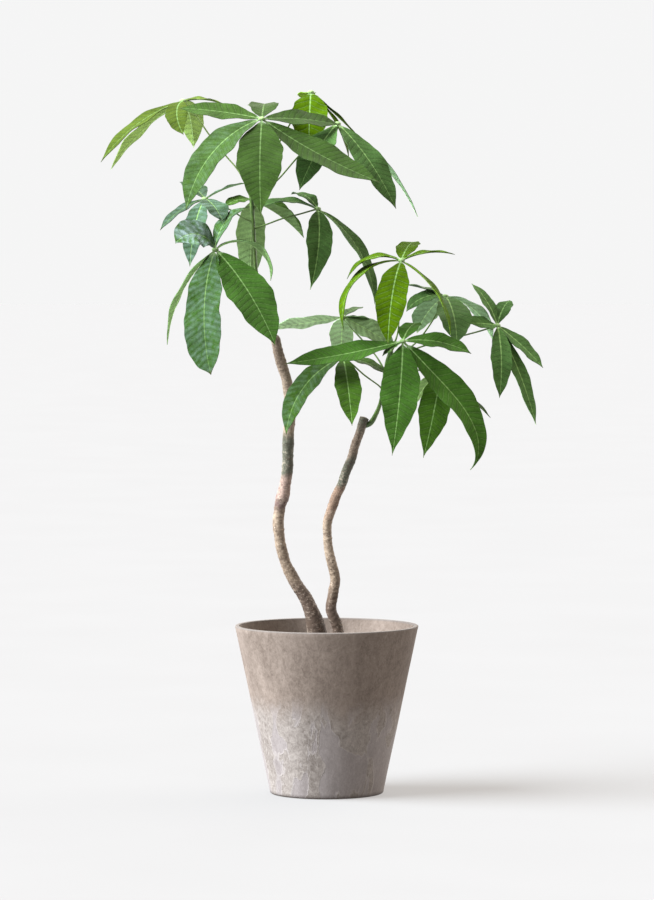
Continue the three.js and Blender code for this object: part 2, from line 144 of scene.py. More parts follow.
# One leaf: its greens, the points of its stalk from shoot to hub, and its leaflets as
# (heading, length, width, slope at the root, slope at the tip, twist, extras). A heading of 0
# points right, 90 back, 180 left and 270 to the front. Of the extras, a sweep curves the blade
# sideways, and a curl above 1 keeps the root straight and bends the tip. A leaflet's shade is
# painted light: it darkens the greens of leaflets in full lamp light and lightens those that face
# away from the lamp or lie in the shade of others. A leaflet's sheen is a painted bluish sheen.
LEAVES = {
    "leaf_left_1": {
        "greens": "dark",
        "painted_light_shades": ("deep", "deep", "deepest", "deepest", "deepest", "deepest"),
        "painted_sheen": (0, 0.12, 0, 0, 0, 0),
        "stalk": [
            (-.0986, 0, .783), (-.096, -.012, .815), (-.09, -.026, .85), (-.084, -.035, .88),
        ],
        "leaflets": [
            (165, .112, .036, 12, 3, -34), (207, .168, .05, -17, -78, -26),
            (267, .167, .06, -40, -66, 0, {"sweep": 4, "fold": 3, "form": "lance", "curl": 1.6}),
            (335, .187, .05, -33, -20, 28), (15, .106, .04, 4, -12, 30), (88, .1, .04, 30, -5, 0),
        ],
    },
    "leaf_left_2": {
        "greens": "lime",
        "painted_light_shades": ("full", "full", "deep", "pale"),
        "stalk": [
            (-.0982, 0, .771), (-.085, .008, .818), (-.064, .02, .848), (-.042, .042, .886),
            (-.021, .062, .918),
        ],
        "leaflets": [
            (267, .09, .05, -35, -80, 0), (336, .106, .03, -38, -78, -15), (8, .088, .02, -39, -47, 0),
            (105, .042, .024, -4, -14, 0),
        ],
    },
    "leaf_left_3": {
        "greens": "leaf",
        "painted_light_shades": ("light", "full", "palest"),
        "stalk": [
            (-.0974, 0, .761), (-.081, .002, .784), (-.059, .003, .807), (-.04, .003, .829),
            (-.01, .004, .861), (.014, .005, .875),
        ],
        "leaflets": [
            (238, .117, .047, -30, -70, 0, {"sweep": -12}),
            (313, .149, .046, -33, -68, 6, {"sweep": 12, "fold": 6}), (11, .164, .026, -32, -65, 0),
        ],
    },
    "leaf_left_4": {
        "greens": "spring",
        "painted_light_shades": ("deep", "palest", "deep", "palest", "plain"),
        "stalk": [
            (-.0984, 0, .778), (-.114, .008, .812), (-.133, .016, .835), (-.155, .026, .863),
            (-.17, .034, .885), (-.189, .045, .906),
        ],
        "leaflets": [
            (193, .138, .038, -18, -55, -12), (160, .137, .038, -26, -56, 0),
            (251, .088, .03, -12, -60, 0, {"sweep": 35}), (82, .11, .036, 0, -70, 0),
            (20, .062, .026, 14, -25, 8),
        ],
    },
    "leaf_left_5": {
        "greens": "blue",
        "painted_light_shades": ("deepest", "full", "full", "pale", "full"),
        "painted_sheen": (0.3, 0.3, 0.3, 0.25, 0.25),
        "stalk": [
            (-.0962, 0, .747), (-.108, -.003, .752), (-.126, -.004, .763), (-.141, -.002, .769),
            (-.159, 0, .777),
        ],
        "leaflets": [
            (198, .074, .026, -16, -52, -12), (255, .115, .03, -25, -80, 0),
            (295, .066, .035, -10, -45, 0), (30, .064, .022, 30, 8, -12), (125, .06, .034, 38, 8, 0),
        ],
    },
    "leaf_left_6": {
        "greens": "deep",
        "painted_light_shades": ("full", "deepest", "deep", "pale", "palest", "full"),
        "painted_sheen": (0.95, 0.3, 0, 0.2, 0.1, 0.3),
        "stalk": [
            (-.0884, .002, .662), (-.1, -.016, .68), (-.12, -.04, .698), (-.144, -.06, .711),
        ],
        "leaflets": [
            (207, .068, .05, 66, -50, -45),
            (244, .178, .058, -53, -85, 10, {"sweep": 19, "form": "blunt"}),
            (310, .172, .058, -32, -60, 22, {"sweep": 2, "fold": 5}), (15, .108, .036, 40, -97, 0),
            (172, .142, .038, -40, -86, 0), (38, .084, .034, 82, 8, -5),
        ],
    },
    "leaf_left_7": {
        "greens": "dark",
        "painted_light_shades": ("pale", "light", "plain"),
        "stalk": [
            (-.0978, 0, .766), (-.098, .008, .77), (-.097, .017, .776),
        ],
        "leaflets": [
            (93, .148, .039, -22, -85, 0), (10, .085, .046, -22, -50, 10, {"fold": 35}),
            (205, .042, .024, 10, -35, -20),
        ],
    },
    "leaf_left_8": {
        "greens": "leaf",
        "painted_light_shades": ("light", "pale", "plain", "plain"),
        "stalk": [
            (-.0958, 0, .738), (-.078, -.004, .744), (-.059, -.006, .751), (-.036, -.009, .757),
            (-.012, -.01, .764),
        ],
        "leaflets": [
            (278, .125, .036, -32, -98, -12, {"sweep": -16, "fold": 11, "form": "lance"}),
            (348, .152, .038, -30, -87, 12), (188, .085, .038, 27, -28, -10),
            (130, .06, .026, 50, -10, 0),
        ],
    },
    "leaf_right_1": {
        "greens": "deep",
        "painted_light_shades": ("full", "deep", "plain", "full", "light", "palest"),
        "stalk": [
            (.084, 0, .578), (.09, -.03, .588), (.098, -.07, .593),
        ],
        "leaflets": [
            (190, .156, .046, -14, -7, -28),
            (268, .171, .05, -45, -72, -5, {"sweep": -8, "fold": 3, "form": "lance"}),
            (348, .204, .05, -46, -138, 38, {"sweep": 4, "fold": 12, "form": "lance", "curl": 4}),
            (350, .092, .039, 8, -28, 26), (68, .06, .028, 45, 0, 0), (200, .034, .02, -28, -40, 0),
        ],
    },
    "leaf_right_2": {
        "greens": "fresh",
        "painted_light_shades": ("full", "plain", "full", "full"),
        "painted_sheen": (0.2, 0, 0, 0),
        "stalk": [
            (.073, -.005, .528), (.069, -.01, .533), (.049, -.02, .548), (.03, -.033, .565),
            (.021, -.038, .571),
        ],
        "leaflets": [
            (203, .134, .038, -18, -84, -28), (276, .117, .034, -20, -80, 0, {"sweep": 4}),
            (340, .068, .028, -4, -35, 10), (100, .095, .034, 3, -8, 0),
        ],
    },
    "leaf_right_3": {
        "greens": "pale",
        "painted_light_shades": ("palest", "palest", "plain", "deep", "palest"),
        "stalk": [
            (.0765, -.004, .551), (.066, .002, .57), (.042, .013, .598), (.031, .018, .61),
            (.021, .022, .623),
        ],
        "leaflets": [
            (165, .102, .036, -8, -10, 22, {"fold": 3}), (92, .085, .032, -20, -80, 0),
            (350, .08, .044, -25, -34, 30), (60, .056, .018, 25, 0, 0), (25, .048, .018, 6, -22, 0),
        ],
    },
    "leaf_right_4": {
        "greens": "leaf",
        "painted_light_shades": ("plain", "palest", "light", "palest", "full"),
        "painted_sheen": (0, 0, 0, 0.4, 0),
        "stalk": [
            (.081, -.001, .57), (.1, .004, .577), (.117, .006, .59), (.128, .007, .603),
            (.147, .011, .633), (.155, .014, .65),
        ],
        "leaflets": [
            (195, .06, .028, 14, -55, -25), (130, .076, .038, -20, -62, 15),
            (286, .092, .046, -18, -68, 0, {"sweep": -6}), (22, .094, .036, -6, -74, -5),
            (165, .06, .026, 25, 5, 0),
        ],
    },
    "leaf_right_5": {
        "greens": "leaf",
        "painted_light_shades": ("plain", "plain", "deep", "light", "palest", "plain"),
        "stalk": [
            (.0825, 0, .575), (.102, -.006, .577), (.125, -.004, .585), (.175, .006, .598),
            (.205, .012, .606), (.223, .015, .612),
        ],
        "leaflets": [
            (215, .046, .034, 8, 0, -30), (140, .07, .024, 70, 34, 0), (69, .062, .025, 52, 12, 0),
            (279, .112, .028, -35, -84, 0, {"sweep": -8}), (313, .147, .027, -52, -70, 0),
            (352, .082, .032, -36, -49, 25),
        ],
    },
    "leaf_right_6": {
        "greens": "lime",
        "painted_light_shades": ("deep", "plain", "plain", "full", "full", "pale"),
        "stalk": [
            (.0845, 0, .58), (.092, -.004, .6), (.095, -.024, .645), (.096, -.068, .697),
        ],
        "leaflets": [
            (257, .14, .042, -25, -80, 0), (193, .137, .038, 4, -104, 0),
            (178, .082, .03, 26, -64, -10), (77, .088, .03, 30, 2, 0), (15, .074, .026, 26, -14, 5),
            (350, .12, .03, -28, -84, 0),
        ],
    },
    "leaf_right_7": {
        "greens": "fresh",
        "painted_light_shades": ("pale", "deep", "palest"),
        "stalk": [
            (.0795, -.002, .565), (.1, .004, .558), (.125, .002, .553), (.149, -.005, .551),
        ],
        "leaflets": [
            (262, .129, .041, -36, -92, -10, {"sweep": -15, "fold": 3, "form": "lance"}),
            (350, .088, .03, -38, -46, 0), (130, .07, .028, -20, -60, 0),
        ],
    },
}

# ---- Colours and light ----

# Greens as (upper face, under face) of a leaflet whose shade is 1.
GREENS = {
    "dark": ((0.048, 0.100, 0.017), (0.094, 0.150, 0.056)),
    "deep": ((0.040, 0.100, 0.014), (0.084, 0.150, 0.050)),
    "fresh": ((0.043, 0.100, 0.011), (0.090, 0.150, 0.050)),
    "leaf": ((0.048, 0.100, 0.026), (0.092, 0.150, 0.078)),
    "blue": ((0.049, 0.100, 0.043), (0.088, 0.150, 0.076)),
    "pale": ((0.126, 0.195, 0.082), (0.152, 0.225, 0.120)),
    "spring": ((0.075, 0.112, 0.016), (0.110, 0.165, 0.042)),
    "lime": ((0.050, 0.100, 0.002), (0.088, 0.155, 0.012)),
}
# A leaflet's shade scales its greens as painted light: under 1 it darkens leaflets in full lamp
# light, and over 1 it lightens those that face away from the lamp or lie in shade.
PAINTED_LIGHT_SHADES = {
    "deepest": 0.4, "deep": 0.55, "full": 0.75, "plain": 1.1, "light": 1.6, "pale": 2.2, "palest": 3.0,
}
RIB_GREEN = (0.190, 0.310, 0.100)
ROOT_GREEN = (0.270, 0.400, 0.170)
# Colour of the painted bluish sheen, a painted highlight on some leaflets.
PAINTED_SHEEN_GREEN = (0.250, 0.320, 0.310)
STALK_GREEN = (0.200, 0.300, 0.090)
TIP_BROWN = (0.030, 0.024, 0.010)
SHOOT_GREENS = ((0.030, 0.066, 0.014), (0.092, 0.160, 0.036))
SHOOT_LINE = (0.190, 0.260, 0.085)
LEAF_GLOSS = 0.015
WAXY_GLOSS = 0.08

BARK_COLOURS = {
    "foot": (0.045, 0.032, 0.024),
    "brown": (0.070, 0.048, 0.036),
    "tan": (0.165, 0.120, 0.083),
    "pale": (0.245, 0.185, 0.132),
    "scar": (0.115, 0.075, 0.065),
    "pink": (0.260, 0.180, 0.145),
    "ruddy": (0.195, 0.127, 0.088),
    "mossy": (0.074, 0.076, 0.054),
    "young": (0.165, 0.122, 0.090),
}
# Bark from the soil up, as (height, colour); between two heights one fades into the other.
BARKS = {
    "trunk_left": [
        (0.190, "foot"), (0.262, "brown"), (0.288, "tan"), (0.366, "pale"), (0.374, "scar"),
        (0.387, "scar"), (0.393, "pink"), (0.410, "pink"), (0.419, "mossy"), (0.462, "mossy"),
        (0.478, "pale"), (0.600, "young"),
    ],
    "trunk_right": [
        (0.190, "foot"), (0.245, "brown"), (0.282, "tan"), (0.310, "pale"), (0.352, "pale"),
        (0.372, "ruddy"), (0.400, "ruddy"), (0.408, "mossy"), (0.432, "mossy"), (0.445, "young"),
        (0.472, "young"), (0.487, "mossy"), (0.500, "young"),
    ],
}

BARK_PALE = (0.440, 0.350, 0.270)
BARK_DARK = (0.066, 0.045, 0.033)
BARK_DASH = (0.105, 0.070, 0.050)
BARK_SPECK = (0.045, 0.033, 0.026)
BARK_CHIP = (0.620, 0.550, 0.470)

# Pairs of colours are (darkest, palest).
STONE_BEIGE = ((0.110, 0.090, 0.077), (0.270, 0.235, 0.208))
STONE_BROWN = ((0.080, 0.059, 0.046), (0.222, 0.176, 0.145))
STONE_LILAC = ((0.132, 0.110, 0.102), (0.252, 0.221, 0.213))
STONE_EDGE = (0.330, 0.295, 0.275)
# Painted shade that darkens the rim's top against the light from above.
STONE_RIM_PAINTED_SHADE = (0.105, 0.094, 0.086)
# Painted shadow along the foot, where the pot meets the floor.
STONE_FOOT_PAINTED_SHADOW = (0.040, 0.030, 0.025)
SOIL_BROWN = ((0.016, 0.010, 0.006), (0.075, 0.046, 0.028))
SOIL_GRIT = (0.34, 0.29, 0.23)

CAMERA_PLACE = (0, -5.6, 0.7)
CAMERA_PITCH = 0.0447  # radians below the level
CAMERA_LENS = 171.6
CAMERA_SHIFT = 0.3 / 900
CAMERA_SENSOR = 36

BACKGROUND = 0.915
FLOOR_GREY = (0.0886, 0.0876, 0.0861)
FLOOR_GAP = 0.0002  # how far it lies under the pot, so that the two never share a plane
FLOOR_GLOW = 0.50  # light the floor gives off, which lifts its shadows
FLOOR_GLOW_COLOUR = (1.0, 0.965, 0.940)
FLOOR_HALF = 60.0
SUN_FROM = (-0.80, -0.16, 0.63)
SUN_STRENGTH = 19.0
SUN_COLOUR = (0.90, 0.98, 1.07)
SUN_SPREAD = 50  # degrees
WINDOW_TOWARDS = (0.60, 0.78, 0.20)
WINDOW_STRENGTH = 3.2
SKY_ABOVE = 1.7
SKY_ROUND = 0.08
SKY_COLOUR = (1.0, 0.930, 0.870)


# ---- Shader maths ----


class Wire:
    """One output socket of a material's nodes, which takes + - * / with numbers and other wires."""

    def __init__(self, tree, socket):
        self.tree = tree
        self.socket = socket

    def make(self, kind, settings=None, inputs=None, output=0):
        """Adds a node: its settings first, then the values or wires of its sockets."""
        node = self.tree.nodes.new(kind)
        for key, value in (settings or {}).items():
            if key == "stops":
                set_stops(node.color_ramp, value)
            else:
                setattr(node, key, value)
        for key, value in (inputs or {}).items():
            if isinstance(value, Wire):
                self.tree.links.new(value.socket, node.inputs[key])
            else:
                node.inputs[key].default_value = value
        return Wire(self.tree, node.outputs[output])

    def maths(self, operation, *values):
        return self.make("ShaderNodeMath", {"operation": operation}, dict(enumerate(values)))

    def __add__(self, other):
        return self.maths("ADD", self, other)

    __radd__ = __add__

    def __sub__(self, other):
        return self.maths("SUBTRACT", self, other)

    def __rsub__(self, other):
        return self.maths("SUBTRACT", other, self)

    def __mul__(self, other):
        return self.maths("MULTIPLY", self, other)

    __rmul__ = __mul__

    def __truediv__(self, other):
        return self.maths("DIVIDE", self, other)

    def absolute(self):
        return self.maths("ABSOLUTE", self)

    def rise(self, start, end):
        """0 below start, 1 above end and a smooth step between; turned round where end is lower."""
        low, high = min(start, end), max(start, end)
        ends = (0.0, 1.0) if start < end else (1.0, 0.0)
        return self.make(
            "ShaderNodeMapRange",
            {"interpolation_type": "SMOOTHSTEP"},
            {"Value": self, "From Min": low, "From Max": high, "To Min": ends[0], "To Max": ends[1]},
        )

    def blend(self, first, second):
        """The first colour where this wire is 0, the second where it is 1."""
        sides = {0: self, 6: opaque(first), 7: opaque(second)}
        return self.make("ShaderNodeMix", {"data_type": "RGBA"}, sides, output=2)

    def stretched(self, x, y, z):
        """A place with each axis scaled."""
        return self.make("ShaderNodeVectorMath", {"operation": "MULTIPLY"}, {0: self, 1: (x, y, z)})

    def noise(self, scale, detail=4.0, roughness=0.55, distortion=0.0):
        values = {
            "Vector": self, "Scale": scale, "Detail": detail,
            "Roughness": roughness, "Distortion": distortion,
        }
        return self.make("ShaderNodeTexNoise", {}, values)

    def cells(self, scale):
        return self.make("ShaderNodeTexVoronoi", {}, {"Vector": self, "Scale": scale})

    def shade(self, colour):
        """A colour scaled by this wire."""
        return self.make("ShaderNodeVectorMath", {"operation": "SCALE"}, {0: colour, "Scale": self})

    def part(self, index):
        return self.make("ShaderNodeSeparateXYZ", {}, {0: self}, index)

    def along(self, way):
        """How far a place lies along a way: their dot product."""
        return self.make("ShaderNodeVectorMath", {"operation": "DOT_PRODUCT"}, {0: self, 1: way}, "Value")


def opaque(colour):
    return (*colour, 1.0) if isinstance(colour, tuple) and len(colour) == 3 else colour


def set_stops(ramp, stops):
    for index, (position, colour) in enumerate(stops):
        element = ramp.elements[index] if index < len(ramp.elements) else ramp.elements.new(position)
        element.position = position
        element.color = opaque(colour)


def new_material(name):
    """An empty material with its shader; returns it with wires of the place and of the shader."""
    material = bpy.data.materials.new(name)
    material.use_nodes = True
    tree = material.node_tree
    shader = next(node for node in tree.nodes if node.type == "BSDF_PRINCIPLED")
    place = Wire(tree, tree.nodes.new("ShaderNodeTexCoord").outputs["Object"])
    return material, place, shader


def finish_material(place, shader, colour, roughness, height=None, depth=0.001, strength=1.0):
    """Joins the colour, the roughness and a height, through a bump, to the shader."""
    tree = place.tree
    tree.links.new(colour.socket, shader.inputs["Base Color"])
    tree.links.new(roughness.socket, shader.inputs["Roughness"])
    if height is not None:
        bump = place.make("ShaderNodeBump", {}, {"Height": height, "Distance": depth, "Strength": strength})
        tree.links.new(bump.socket, shader.inputs["Normal"])


# ---- Finishes ----


def stone_finish():
    """Cast stone: a browner upper band with faint upright smears and short strokes; below it smooth
    lilac-grey tongues with pale edges, and between them beige grains. Fine specks and shallow pits."""
    material, place, shader = new_material("cast_stone")
    height = place.part(2)
    clouds = place.stretched(1, 1, 0.5).noise(14, 5, 0.6, 0.5)
    smears = place.stretched(1, 1, 0.12).noise(85, 4, 0.6, 0.3)
    strokes = place.stretched(1, 1, 0.5).noise(190, 3, 0.6, 1.8)
    grains = place.noise(150, 5, 0.72, 0.8)
    specks = place.noise(480, 3, 0.7)
    tongues = place.stretched(1, 1, 0.42).noise(33, 3, 0.45, 0.9)
    ragged = tongues + (grains - 0.5) * 0.06
    lower = (height + clouds * 0.07).rise(0.172, 0.128)
    smooth = ragged.rise(0.49, 0.53) * lower
    edge = (ragged - 0.51).absolute().rise(0.026, 0.004) * lower
    grainy = (1 - smooth) * (lower * 0.6 + 0.4)
    tone = (
        clouds.rise(0.30, 0.70) * 0.32 + smears.rise(0.30, 0.70) * 0.14 + 0.27
        + (grains - 0.5) * (grainy * 1.45 + 0.40) + (strokes - 0.5) * 0.85 + (specks - 0.5) * 0.42
    )
    beige = tone.blend(*STONE_BEIGE)
    brown = tone.blend(*STONE_BROWN)
    lilac = tone.blend(*STONE_LILAC)
    colour = (smooth * 0.72).blend(lower.blend(brown, beige), lilac)
    colour = (edge * 0.26).blend(colour, STONE_EDGE)
    # Painted shade: the rim's top is darkened.
    rim = height.rise(POT_HEIGHT - 0.0024, POT_HEIGHT - 0.0006)
    colour = (rim * 0.70).blend(colour, STONE_RIM_PAINTED_SHADE)
    # Painted shadow: the lowest few millimetres darken towards the floor.
    colour = (height.rise(0.007, 0.0) * 0.70).blend(colour, STONE_FOOT_PAINTED_SHADOW)
    pits = place.cells(240).rise(0.16, 0.05)
    relief = grains * grainy * 0.5 + specks * 0.15 + clouds * 0.3 + strokes * 0.2 + edge * 0.2 - pits * 0.12
    finish_material(place, shader, colour, 0.86 - smooth * 0.14 - clouds * 0.1, relief, 0.0015, 0.5)
    shader.inputs["Specular IOR Level"].default_value = 0.3
    return material


def soil_finish():
    """Dark potting soil with paler grit."""
    material, place, shader = new_material("potting_soil")
    clumps = place.noise(90, 6, 0.7)
    grit = place.cells(520).rise(0.10, 0.02) * place.noise(60).rise(0.50, 0.62)
    dark = clumps.rise(0.35, 0.68).blend(*SOIL_BROWN)
    colour = (grit * 0.7).blend(dark, SOIL_GRIT)
    finish_material(place, shader, colour, 1.0 - clumps * 0.1, clumps + grit * 0.3, 0.004, 0.9)
    return material


def bark_finish(name, zones):
    """Smooth young bark. Its colour runs up the trunk through the zones, with wandering borders; over it
    lie pale and dark flecks, brown dashes around the trunk, dark specks and white chips."""
    material, place, shader = new_material(name + "_bark")
    blotches = place.stretched(1, 1, 0.6).noise(75, 4, 0.6, 0.8)
    flecks = place.stretched(1, 1, 1.4).noise(330, 4, 0.75)
    rings = place.stretched(0.22, 0.22, 1).noise(210, 3, 0.6, 0.4)
    height = place.part(2) + (blotches - 0.5) * 0.030
    low, high = zones[0][0], zones[-1][0]
    stops = [((level - low) / (high - low), BARK_COLOURS[kind]) for level, kind in zones]
    along = place.make("ShaderNodeValToRGB", {"stops": stops}, {0: (height - low) / (high - low)})
    patchy = blotches * 0.4 + flecks * 0.6
    light = patchy.rise(0.51, 0.63)
    dark = patchy.rise(0.50, 0.39)
    colour = (light * 0.45).blend(along, BARK_PALE)
    colour = (dark * 0.75).blend(colour, BARK_DARK)
    dashes = rings.rise(0.575, 0.64) * blotches.rise(0.40, 0.55)
    colour = (dashes * 0.70).blend(colour, BARK_DASH)
    specks = place.cells(330).rise(0.26, 0.10) * blotches.rise(0.47, 0.57)
    colour = (specks * 0.80).blend(colour, BARK_SPECK)
    chips = place.cells(110).rise(0.13, 0.08) * flecks.rise(0.54, 0.59)
    colour = (chips * 0.90).blend(colour, BARK_CHIP)
    relief = rings * 0.55 + blotches * 0.5 + flecks * 0.4 + chips * 0.2 - dashes * 0.3
    finish_material(place, shader, colour, 0.74 - light * 0.18, relief, 0.0012, 0.8)
    return material


def shoot_finish():
    """Green young stem, darker and paler in patches, with faint length lines."""
    material, place, shader = new_material("green_shoot")
    lines = place.stretched(1, 1, 0.12).noise(420, 3, 0.6)
    patches = place.noise(70, 4, 0.6)
    green = patches.rise(0.35, 0.66).blend(*SHOOT_GREENS)
    colour = (lines.rise(0.5, 0.72) * 0.45).blend(green, SHOOT_LINE)
    finish_material(place, shader, colour, 0.50 - patches * 0.12, lines + patches * 0.5, 0.0005, 0.5)
    shader.inputs["Coat Weight"].default_value = 0.15
    return material


def stalk_finish(name, upper):
    """Thin leaf stalks, brownish green and a little like the blades they carry, with a pale hub. The
    piece's own attribute, hub, is 1 on the hub."""
    material, place, shader = new_material(name + "_stalk")
    patches = place.noise(130, 3, 0.6)
    tint = mix_colours(STALK_GREEN, upper, 0.4)
    colour = patches.rise(0.34, 0.66).blend(mix_colours(tint, (0, 0, 0), 0.4), tint)
    hub = piece_measure(place, "hub") * (0.45 + patches * 0.4)
    colour = hub.blend(colour, ROOT_GREEN)
    finish_material(place, shader, colour, 0.46 + patches * 0.1, patches, 0.0004, 0.4)
    shader.inputs["Specular IOR Level"].default_value = 0.2
    return material


def blade_finish(name, greens, gloss):
    """A leaf blade. The piece's own attributes give the place on the blade: vein counts the side veins,
    rib is the distance from the midrib in metres, share runs from root to tip and under is 1 below.
    Tone, the number of a leaflet's shade, is painted light: it scales the colours, up to 1 above and
    from 0.7 below. The leaflet's sheen mixes in a painted bluish sheen, in stripes along the side veins."""
    above, below = greens
    material, place, shader = new_material(name)
    share, under = piece_measure(place, "share"), piece_measure(place, "under")
    across = piece_measure(place, "rib").absolute()
    mottle = place.noise(42, 4, 0.6)
    fine = place.noise(480, 3, 0.65)
    vein = piece_measure(place, "vein") + (place.noise(60, 2, 0.5) - 0.5) * 0.7
    between = vein.maths("FRACT", vein)
    beside = (between - 0.5).absolute()
    side_vein = beside.rise(0.435, 0.490) * across.rise(0.0, 0.004)
    quilt = 1 - beside * beside * 4
    flank = between.rise(0.05, 0.25) * between.rise(0.75, 0.40)
    midrib = (across + share * 0.0006).rise(0.00145, 0.00070)
    # tone is painted light: it lightens leaflets in shade and darkens those in full lamp light
    tone = piece_measure(place, "tone")
    # Besides random mottling, the quilt term is painted shade: lighter on the pillows between the side veins,
    # darker beside the veins.
    variety = mottle * 1.10 + fine * 1.10 + quilt * 0.38 - 0.36
    light = variety * tone.maths("MINIMUM", tone, 1.0)
    below_light = variety * tone.maths("MAXIMUM", tone, 0.7)
    body = light.shade(above)
    rib = light.shade(RIB_GREEN)
    body = (side_vein * 0.42).blend(body, rib)
    # Painted sheen: bluish highlight stripes on the flanks of the side veins, in patches.
    patches = place.noise(110, 3, 0.6).rise(0.28, 0.70)
    painted_sheen = piece_measure(place, "painted_sheen") * (0.55 + flank * 0.45) * patches
    body = painted_sheen.blend(body, light.shade(PAINTED_SHEEN_GREEN))
    upper = (midrib * (0.95 - share * 0.40)).blend(body, rib)
    upper = (share.rise(0.955, 1.0) * 0.7).blend(upper, TIP_BROWN)
    below_vein = midrib * 0.5 + side_vein * 0.3
    lower = below_vein.blend(below_light.shade(below), below_light.shade(ROOT_GREEN))
    colour = share.rise(0.085, 0.035).blend(under.blend(upper, lower), light.shade(ROOT_GREEN))
    relief = quilt * 0.50 + fine * 0.10 + mottle * 0.50 - midrib * 0.6
    roughness = 0.62 + under * 0.12 - painted_sheen * 0.10 + (fine - 0.5) * 0.1
    finish_material(place, shader, colour, roughness, relief, 0.0009, 0.5)
    shader.inputs["Specular IOR Level"].default_value = gloss
    return material


def piece_measure(place, label):
    """An attribute that the piece's own points carry."""
    settings = {"attribute_type": "GEOMETRY", "attribute_name": label}
    return place.make("ShaderNodeAttribute", settings, {}, 2)


def mix_colours(first, second, share):
    return tuple((1 - share) * a + share * b for a, b in zip(first, second))


def floor_finish():
    """Plain pale studio floor, which glows a little."""
    material, place, shader = new_material("pale_floor")
    colour = place.noise(3, 2, 0.5).blend(FLOOR_GREY, mix_colours(FLOOR_GREY, (1, 1, 1), 0.01))
    finish_material(place, shader, colour, place.noise(5) * 0.02 + 0.9)
    shader.inputs["Specular IOR Level"].default_value = 0.0
    shader.inputs["Emission Color"].default_value = opaque(FLOOR_GLOW_COLOUR)
    shader.inputs["Emission Strength"].default_value = FLOOR_GLOW * BACKGROUND
    return material


# ---- Surfaces ----


def unit(vectors):
    """Each row divided by its length."""
    return vectors / np.linalg.norm(vectors, axis=-1, keepdims=True)


def piece_of(name, points, quads, triangles, node, slot, materials):
    """A smooth mesh from arrays of points and faces, which replaces a CAD node and rides with it."""
    mesh = bpy.data.meshes.new(name)
    mesh.from_pydata(points.reshape(-1, 3), [], quads.tolist() + triangles.tolist())
    mesh.polygons.foreach_set("use_smooth", np.ones(len(mesh.polygons), bool))
    for material in materials:
        mesh.materials.append(material)
    mesh.validate()
    piece = bpy.data.objects.new(name, mesh)
    bpy.context.scene.collection.objects.link(piece)
    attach(piece, "root")
    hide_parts(node)
    return piece


def sleeve_faces(rows, around, start):
    """Quads of a closed sleeve: point (i, j) joins (i, j + 1), with the last column joined to the first."""
    row, column = np.meshgrid(np.arange(rows - 1), np.arange(around), indexing="ij")
    here = row * around + column
    beside = row * around + (column + 1) % around
    quads = np.stack([here, beside, beside + around, here + around], axis=-1)
    return quads.reshape(-1, 4) + start


def cap_faces(rows, around, start):
    """Triangles from each open end of a sleeve to its pole; the two poles follow the sleeve's points."""
    column = np.arange(around)
    after = (column + 1) % around
    last = (rows - 1) * around
    pole = np.full(around, rows * around)
    first = np.stack([after, column, pole], axis=-1)
    second = np.stack([last + column, last + after, pole + 1], axis=-1)
    return np.concatenate([first, second]) + start


def closed_sleeve(points, start=0):
    """Points (rows, around, 3) with a pole in the middle of each end; returns points, quads and triangles."""
    rows, around = points.shape[:2]
    poles = np.stack([points[0].mean(axis=0), points[-1].mean(axis=0)])
    joined = np.concatenate([points.reshape(-1, 3), poles])
    return joined, sleeve_faces(rows, around, start), cap_faces(rows, around, start)


def smooth_path(points, rows):
    """Centripetal Catmull-Rom curve through the points, then rows of equal steps along it. Each span is a
    cubic whose end slopes come from the points on both sides, weighed by the square root of the distances."""
    points = np.array(points, float)
    padded = np.vstack([2 * points[0] - points[1], points, 2 * points[-1] - points[-2]])
    knots = np.sqrt(np.linalg.norm(np.diff(padded[:, :3], axis=0), axis=1))
    place = np.linspace(0, len(points) - 1, 12 * rows)
    low = np.minimum(place.astype(int), len(points) - 2)
    share = (place - low)[:, None]
    before, span, after = (knots[low + k][:, None] for k in range(3))
    p0, p1, p2, p3 = (padded[low + k] for k in range(4))
    leave = ((p1 - p0) / before - (p2 - p0) / (before + span) + (p2 - p1) / span) * span
    reach = ((p2 - p1) / span - (p3 - p1) / (span + after) + (p3 - p2) / after) * span
    curve = (
        (2 * share**3 - 3 * share**2 + 1) * p1 + (share**3 - 2 * share**2 + share) * leave
        + (3 * share**2 - 2 * share**3) * p2 + (share**3 - share**2) * reach
    )
    steps = np.linalg.norm(np.diff(curve[:, :3], axis=0), axis=1)
    length = np.concatenate([[0], np.cumsum(steps)])
    even = np.linspace(0, length[-1], rows)
    return np.stack([np.interp(even, length, column) for column in curve.T], axis=1), even


def tube_points(path, around, relief=0.0):
    """Rings square to the path: centre + (radius + relief) * (cos a * side + sin a * front)."""
    centres, radii = path[:, :3], path[:, 3] / 2
    along = unit(np.gradient(centres, axis=0))
    chord = np.abs(centres[-1] - centres[0])
    reference = np.eye(3)[np.argmin(chord)]
    side = unit(np.cross(along, reference))
    front = np.cross(along, side)
    angle = np.linspace(0, 2 * pi, around, endpoint=False)
    reach = (radii[:, None] + relief)[..., None]
    spokes = np.cos(angle)[None, :, None] * side[:, None] + np.sin(angle)[None, :, None] * front[:, None]
    return centres[:, None] + reach * spokes


# ---- Pot and soil ----


def corner(radius, height, bend, start, end):
    """A round corner as (radius, height) rows: centre + bend * (cos a, sin a) between two angles."""
    angle = np.radians(np.linspace(start, end, 7))
    return np.stack([radius + bend * np.cos(angle), height + bend * np.sin(angle)], axis=1)


def outer_radius(height):
    return POT_BASE_RADIUS + (POT_RIM_RADIUS - POT_BASE_RADIUS) * height / POT_HEIGHT


def inner_radius(height):
    return outer_radius(height) - POT_WALL


